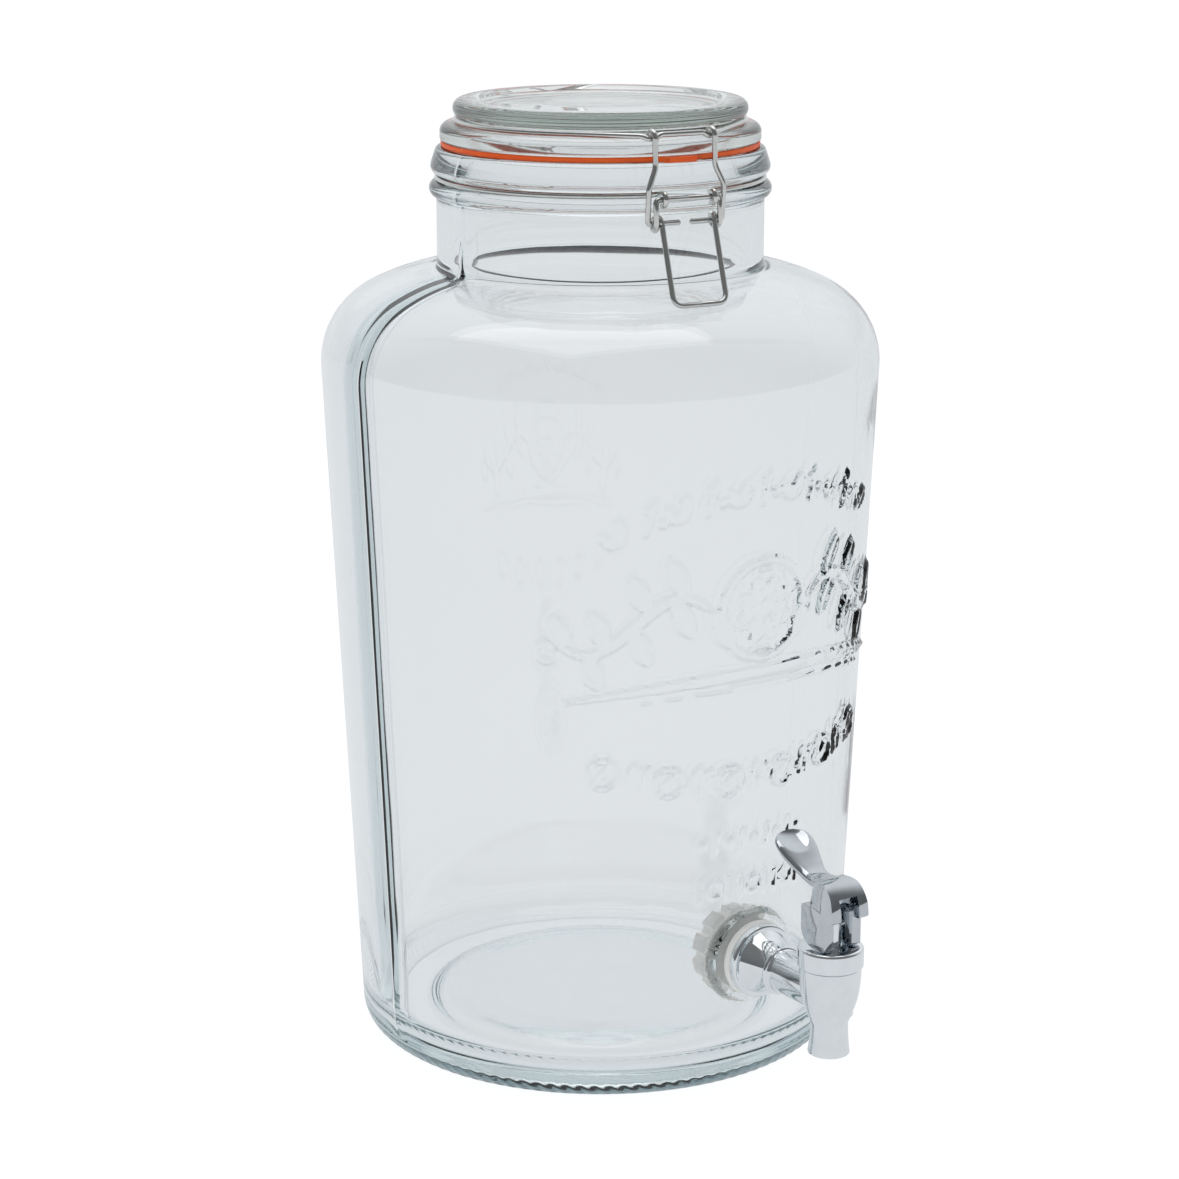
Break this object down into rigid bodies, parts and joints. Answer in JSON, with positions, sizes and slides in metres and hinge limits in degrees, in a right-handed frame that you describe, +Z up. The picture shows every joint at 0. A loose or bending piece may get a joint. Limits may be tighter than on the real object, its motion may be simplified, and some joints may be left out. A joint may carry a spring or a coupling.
{
  "type": "beverage dispenser",
  "caption": "Free-standing glass drink jar with a wire clasp lid and gasket, and a spring-closed lever tap near its foot.",
  "frame": {"origin": "the jar's axis on the plane that its foot ring stands on", "axes": "+Z up along the jar's axis; the tap points along -Y and the lid's hinge is on the +Y side, turned 7.3 degrees about Z with the clasp"},
  "size_m": [0.2025, 0.2503, 0.347],
  "materials": {
    "jar_glass": "clear moulded glass, slightly cool",
    "lid_glass": "clear pressed glass",
    "gasket_rubber": "soft satin orange rubber",
    "wire_steel": "bright drawn stainless wire",
    "tap_chrome": "mirror-plated plastic",
    "seal_silicone": "milky translucent silicone",
    "nut_plastic": "white moulded plastic",
    "spring_steel": "drawn stainless"
  },
  "bodies": {
    "dispenser": {"jar": "jar_glass", "neck_wire": "wire_steel", "tap_body": "tap_chrome", "tap_outer_washer": "seal_silicone", "tap_inner_washer": "seal_silicone", "tap_nut": "nut_plastic", "tap_bonnet": "tap_chrome", "tap_stem_oring": "seal_silicone", "tap_spring": "spring_steel"},
    "lid": {"lid": "lid_glass", "lid_gasket": "gasket_rubber", "lid_wire": "wire_steel"},
    "clasp_lever": {"clasp_lever": "wire_steel"},
    "clasp_arms": {"clasp_arm_left": "wire_steel", "clasp_arm_right": "wire_steel"},
    "tap_stem": {"tap_stem": "tap_chrome", "tap_seat_cup": "seal_silicone"},
    "tap_lever": {"tap_lever": "tap_chrome", "tap_lever_pin": "spring_steel"}
  },
  "joints": [
    {"name": "lid_hinge", "type": "hinge", "parent": "dispenser", "child": "lid", "pos_m": [0.00832, 0.06497, 0.327], "axis": [-0.9919, 0.1271, 0], "range_deg": [0, 105]},
    {"name": "clasp_swing", "type": "hinge", "parent": "dispenser", "child": "clasp_lever", "pos_m": [-0.00807, -0.06298, 0.3185], "axis": [-0.9919, 0.1271, 0], "range_deg": [0, 115]},
    {"name": "arm_swing", "type": "hinge", "parent": "clasp_lever", "child": "clasp_arms", "pos_m": [-0.00784, -0.0612, 0.3101], "axis": [0.9919, -0.1271, 0], "range_deg": [0, 140]},
    {"name": "stem_lift", "type": "slide", "parent": "dispenser", "child": "tap_stem", "axis": [0, 0, 1], "range_m": [0, 0.0026], "stiffness_N_per_m": 400, "springref_m": -0.006, "deforming": ["tap_spring"]},
    {"name": "tap_lever_tilt", "type": "hinge", "parent": "tap_stem", "child": "tap_lever", "pos_m": [0, -0.1375, 0.076], "axis": [1, 0, 0], "range_deg": [0, 45]}
  ],
  "couplings": [
    {"joint": "arm_swing", "follows": "clasp_swing", "ratio": 1.2},
    {"joint": "tap_lever_tilt", "follows": "stem_lift", "rad_per_m": 300}
  ]
}
